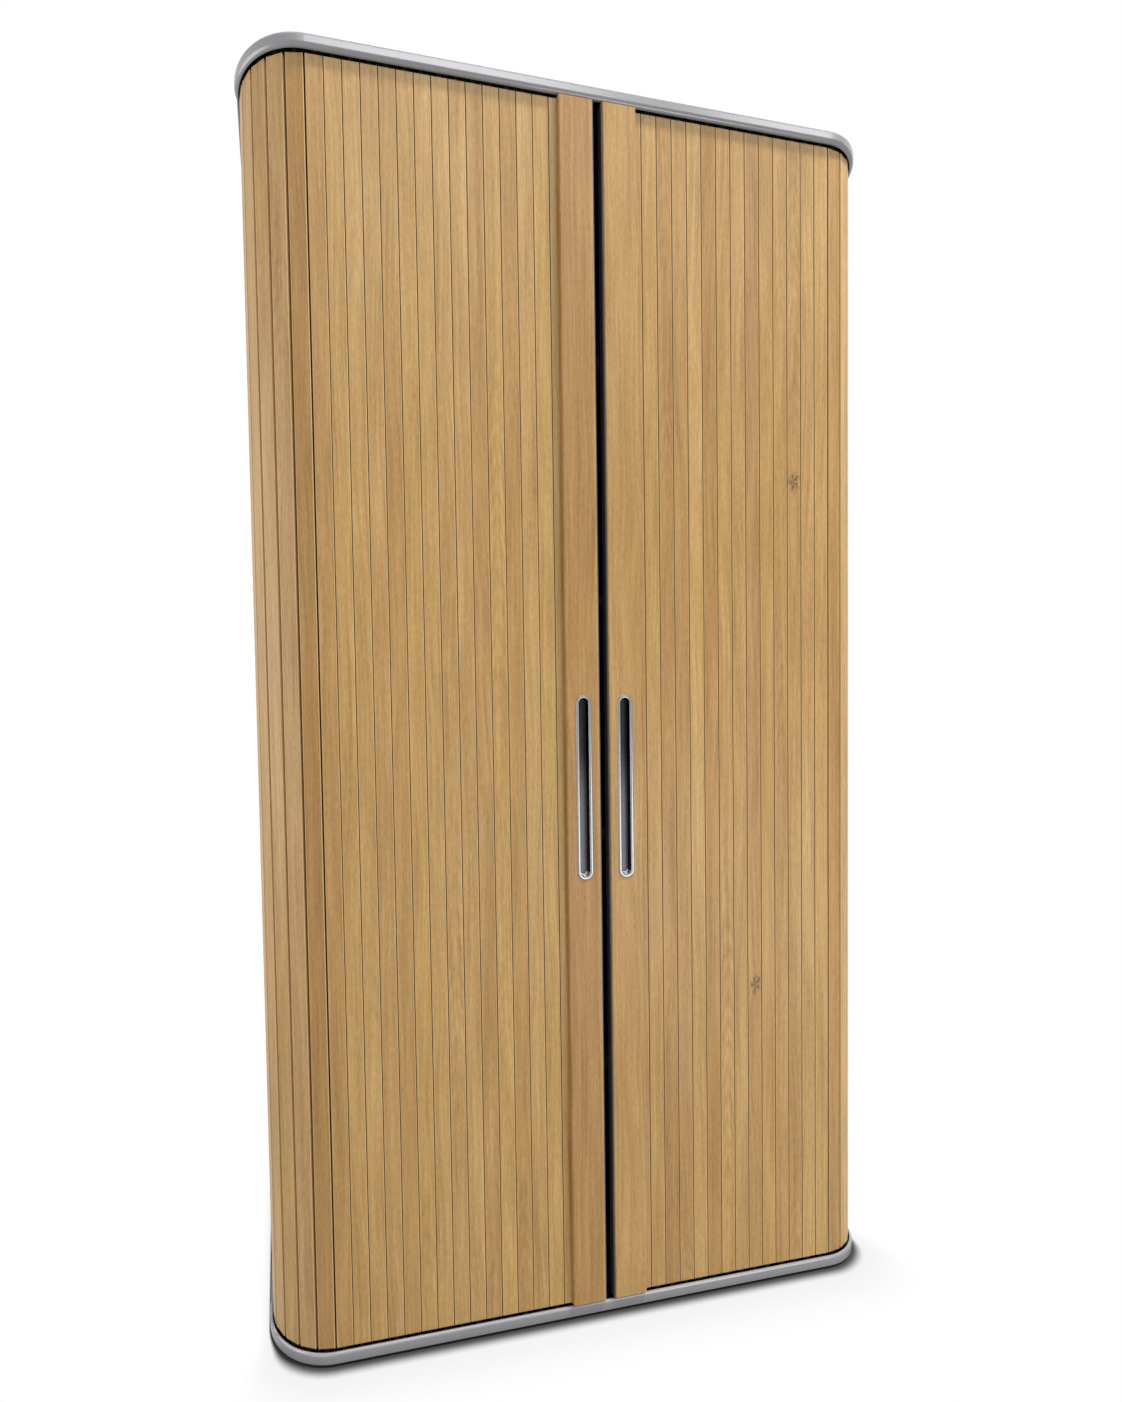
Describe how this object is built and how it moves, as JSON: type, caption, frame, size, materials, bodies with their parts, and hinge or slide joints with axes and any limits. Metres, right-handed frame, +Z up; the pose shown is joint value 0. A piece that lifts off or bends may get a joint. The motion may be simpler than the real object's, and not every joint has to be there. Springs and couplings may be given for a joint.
{
  "type": "tambour cabinet",
  "caption": "Tall round-cornered office cabinet with two sliding wooden tambour doors, recessed finger pulls, grey top and base boards and shelves inside.",
  "frame": {"origin": "on the floor, under the middle of the cabinet's box", "axes": "+X to the right as seen from the front, +Y to the back, +Z up"},
  "size_m": [1.0546, 0.452, 1.924],
  "materials": {
    "honey_veneer": "satin lacquered light veneer",
    "grey_lacquer": "satin silver-grey lacquer",
    "carcass_board": "matt dark grey laminate",
    "aluminium": "satin anodised",
    "dark_profile": "matt dark grey",
    "canvas": "plain woven backing",
    "steel": "zinc plated"
  },
  "bodies": {
    "carcass": {"levelling_feet": "dark_profile", "base_board": "grey_lacquer", "top_board": "grey_lacquer", "back_panel": "carcass_board", "left_inner_side": "carcass_board", "left_rear_post": "carcass_board", "left_side_panel": "honey_veneer", "right_inner_side": "carcass_board", "right_rear_post": "carcass_board", "right_side_panel": "honey_veneer", "shelf_1": "carcass_board", "shelf_2": "carcass_board", "shelf_3": "carcass_board", "shelf_4": "carcass_board", "shelf_pins": "steel"},
    "left_door": {"left_flat_slats": "honey_veneer", "left_flat_canvas": "canvas", "left_stile": "honey_veneer", "left_finger_pull": "aluminium", "left_meeting_strip": "dark_profile"},
    "left_entry_slat_5_link": {"left_entry_slat_5": "honey_veneer"},
    "left_entry_slat_4_link": {"left_entry_slat_4": "honey_veneer"},
    "left_entry_slat_3_link": {"left_entry_slat_3": "honey_veneer"},
    "left_entry_slat_2_link": {"left_entry_slat_2": "honey_veneer"},
    "left_entry_slat_1_link": {"left_entry_slat_1": "honey_veneer"},
    "left_corner_slat_1_link": {"left_corner_slat_1": "honey_veneer"},
    "left_corner_slat_2_link": {"left_corner_slat_2": "honey_veneer"},
    "left_corner_slat_3_link": {"left_corner_slat_3": "honey_veneer"},
    "left_corner_slat_4_link": {"left_corner_slat_4": "honey_veneer"},
    "left_corner_slat_5_link": {"left_corner_slat_5": "honey_veneer"},
    "left_tail": {"left_side_slats": "honey_veneer", "left_side_canvas": "canvas"},
    "right_door": {"right_flat_slats": "honey_veneer", "right_flat_canvas": "canvas", "right_stile": "honey_veneer", "right_finger_pull": "aluminium", "right_meeting_strip": "dark_profile"},
    "right_entry_slat_5_link": {"right_entry_slat_5": "honey_veneer"},
    "right_entry_slat_4_link": {"right_entry_slat_4": "honey_veneer"},
    "right_entry_slat_3_link": {"right_entry_slat_3": "honey_veneer"},
    "right_entry_slat_2_link": {"right_entry_slat_2": "honey_veneer"},
    "right_entry_slat_1_link": {"right_entry_slat_1": "honey_veneer"},
    "right_corner_slat_1_link": {"right_corner_slat_1": "honey_veneer"},
    "right_corner_slat_2_link": {"right_corner_slat_2": "honey_veneer"},
    "right_corner_slat_3_link": {"right_corner_slat_3": "honey_veneer"},
    "right_corner_slat_4_link": {"right_corner_slat_4": "honey_veneer"},
    "right_corner_slat_5_link": {"right_corner_slat_5": "honey_veneer"},
    "right_tail": {"right_side_slats": "honey_veneer", "right_side_canvas": "canvas"}
  },
  "joints": [
    {"name": "left_door_slide", "type": "slide", "parent": "carcass", "child": "left_door", "axis": [-1, 0, 0], "range_m": [0, 0.13]},
    {"name": "left_entry_slat_5_turn", "type": "hinge", "parent": "carcass", "child": "left_entry_slat_5_link", "pos_m": [-0.3625, 0.6191, 0], "axis": [0, 0, -1], "range_deg": [0, 9]},
    {"name": "left_entry_slat_4_turn", "type": "hinge", "parent": "carcass", "child": "left_entry_slat_4_link", "pos_m": [-0.37987, 0.06531, 0], "axis": [0, 0, -1], "range_deg": [0, 27]},
    {"name": "left_entry_slat_3_turn", "type": "hinge", "parent": "carcass", "child": "left_entry_slat_3_link", "pos_m": [-0.39376, -0.04575, 0], "axis": [0, 0, -1], "range_deg": [0, 45]},
    {"name": "left_entry_slat_2_turn", "type": "hinge", "parent": "carcass", "child": "left_entry_slat_2_link", "pos_m": [-0.40717, -0.09239, 0], "axis": [0, 0, -1], "range_deg": [0, 63]},
    {"name": "left_entry_slat_1_turn", "type": "hinge", "parent": "carcass", "child": "left_entry_slat_1_link", "pos_m": [-0.4204, -0.1166, 0], "axis": [0, 0, -1], "range_deg": [0, 81]},
    {"name": "left_corner_slat_1_turn", "type": "hinge", "parent": "carcass", "child": "left_corner_slat_1_link", "pos_m": [-0.4204, -0.1166, 0], "axis": [0, 0, -1], "range_deg": [0, 81]},
    {"name": "left_corner_slat_2_turn", "type": "hinge", "parent": "carcass", "child": "left_corner_slat_2_link", "pos_m": [-0.39619, -0.10336, 0], "axis": [0, 0, -1], "range_deg": [0, 63]},
    {"name": "left_corner_slat_3_turn", "type": "hinge", "parent": "carcass", "child": "left_corner_slat_3_link", "pos_m": [-0.34955, -0.08996, 0], "axis": [0, 0, -1], "range_deg": [0, 45]},
    {"name": "left_corner_slat_4_turn", "type": "hinge", "parent": "carcass", "child": "left_corner_slat_4_link", "pos_m": [-0.23849, -0.07607, 0], "axis": [0, 0, -1], "range_deg": [0, 27]},
    {"name": "left_corner_slat_5_turn", "type": "hinge", "parent": "carcass", "child": "left_corner_slat_5_link", "pos_m": [0.3153, -0.0587, 0], "axis": [0, 0, -1], "range_deg": [0, 9]},
    {"name": "left_tail_slide", "type": "slide", "parent": "carcass", "child": "left_tail", "axis": [0, 1, 0], "range_m": [0, 0.13]},
    {"name": "right_door_slide", "type": "slide", "parent": "carcass", "child": "right_door", "axis": [1, 0, 0], "range_m": [0, 0.13]},
    {"name": "right_entry_slat_5_turn", "type": "hinge", "parent": "carcass", "child": "right_entry_slat_5_link", "pos_m": [0.3625, 0.6191, 0], "axis": [0, 0, 1], "range_deg": [0, 9]},
    {"name": "right_entry_slat_4_turn", "type": "hinge", "parent": "carcass", "child": "right_entry_slat_4_link", "pos_m": [0.37987, 0.06531, 0], "axis": [0, 0, 1], "range_deg": [0, 27]},
    {"name": "right_entry_slat_3_turn", "type": "hinge", "parent": "carcass", "child": "right_entry_slat_3_link", "pos_m": [0.39376, -0.04575, 0], "axis": [0, 0, 1], "range_deg": [0, 45]},
    {"name": "right_entry_slat_2_turn", "type": "hinge", "parent": "carcass", "child": "right_entry_slat_2_link", "pos_m": [0.40717, -0.09239, 0], "axis": [0, 0, 1], "range_deg": [0, 63]},
    {"name": "right_entry_slat_1_turn", "type": "hinge", "parent": "carcass", "child": "right_entry_slat_1_link", "pos_m": [0.4204, -0.1166, 0], "axis": [0, 0, 1], "range_deg": [0, 81]},
    {"name": "right_corner_slat_1_turn", "type": "hinge", "parent": "carcass", "child": "right_corner_slat_1_link", "pos_m": [0.4204, -0.1166, 0], "axis": [0, 0, 1], "range_deg": [0, 81]},
    {"name": "right_corner_slat_2_turn", "type": "hinge", "parent": "carcass", "child": "right_corner_slat_2_link", "pos_m": [0.39619, -0.10336, 0], "axis": [0, 0, 1], "range_deg": [0, 63]},
    {"name": "right_corner_slat_3_turn", "type": "hinge", "parent": "carcass", "child": "right_corner_slat_3_link", "pos_m": [0.34955, -0.08996, 0], "axis": [0, 0, 1], "range_deg": [0, 45]},
    {"name": "right_corner_slat_4_turn", "type": "hinge", "parent": "carcass", "child": "right_corner_slat_4_link", "pos_m": [0.23849, -0.07607, 0], "axis": [0, 0, 1], "range_deg": [0, 27]},
    {"name": "right_corner_slat_5_turn", "type": "hinge", "parent": "carcass", "child": "right_corner_slat_5_link", "pos_m": [-0.3153, -0.0587, 0], "axis": [0, 0, 1], "range_deg": [0, 9]},
    {"name": "right_tail_slide", "type": "slide", "parent": "carcass", "child": "right_tail", "axis": [0, 1, 0], "range_m": [0, 0.13]}
  ],
  "couplings": [
    {"joint": "left_entry_slat_5_turn", "follows": "left_door_slide", "rad_per_m": 1.2083},
    {"joint": "left_entry_slat_4_turn", "follows": "left_door_slide", "rad_per_m": 3.6249},
    {"joint": "left_entry_slat_3_turn", "follows": "left_door_slide", "rad_per_m": 6.0415},
    {"joint": "left_entry_slat_2_turn", "follows": "left_door_slide", "rad_per_m": 8.4581},
    {"joint": "left_entry_slat_1_turn", "follows": "left_door_slide", "rad_per_m": 10.875},
    {"joint": "left_corner_slat_1_turn", "follows": "left_door_slide", "rad_per_m": 10.875},
    {"joint": "left_corner_slat_2_turn", "follows": "left_door_slide", "rad_per_m": 8.4581},
    {"joint": "left_corner_slat_3_turn", "follows": "left_door_slide", "rad_per_m": 6.0415},
    {"joint": "left_corner_slat_4_turn", "follows": "left_door_slide", "rad_per_m": 3.6249},
    {"joint": "left_corner_slat_5_turn", "follows": "left_door_slide", "rad_per_m": 1.2083},
    {"joint": "left_tail_slide", "follows": "left_door_slide", "ratio": 1},
    {"joint": "right_entry_slat_5_turn", "follows": "right_door_slide", "rad_per_m": 1.2083},
    {"joint": "right_entry_slat_4_turn", "follows": "right_door_slide", "rad_per_m": 3.6249},
    {"joint": "right_entry_slat_3_turn", "follows": "right_door_slide", "rad_per_m": 6.0415},
    {"joint": "right_entry_slat_2_turn", "follows": "right_door_slide", "rad_per_m": 8.4581},
    {"joint": "right_entry_slat_1_turn", "follows": "right_door_slide", "rad_per_m": 10.875},
    {"joint": "right_corner_slat_1_turn", "follows": "right_door_slide", "rad_per_m": 10.875},
    {"joint": "right_corner_slat_2_turn", "follows": "right_door_slide", "rad_per_m": 8.4581},
    {"joint": "right_corner_slat_3_turn", "follows": "right_door_slide", "rad_per_m": 6.0415},
    {"joint": "right_corner_slat_4_turn", "follows": "right_door_slide", "rad_per_m": 3.6249},
    {"joint": "right_corner_slat_5_turn", "follows": "right_door_slide", "rad_per_m": 1.2083},
    {"joint": "right_tail_slide", "follows": "right_door_slide", "ratio": 1}
  ]
}
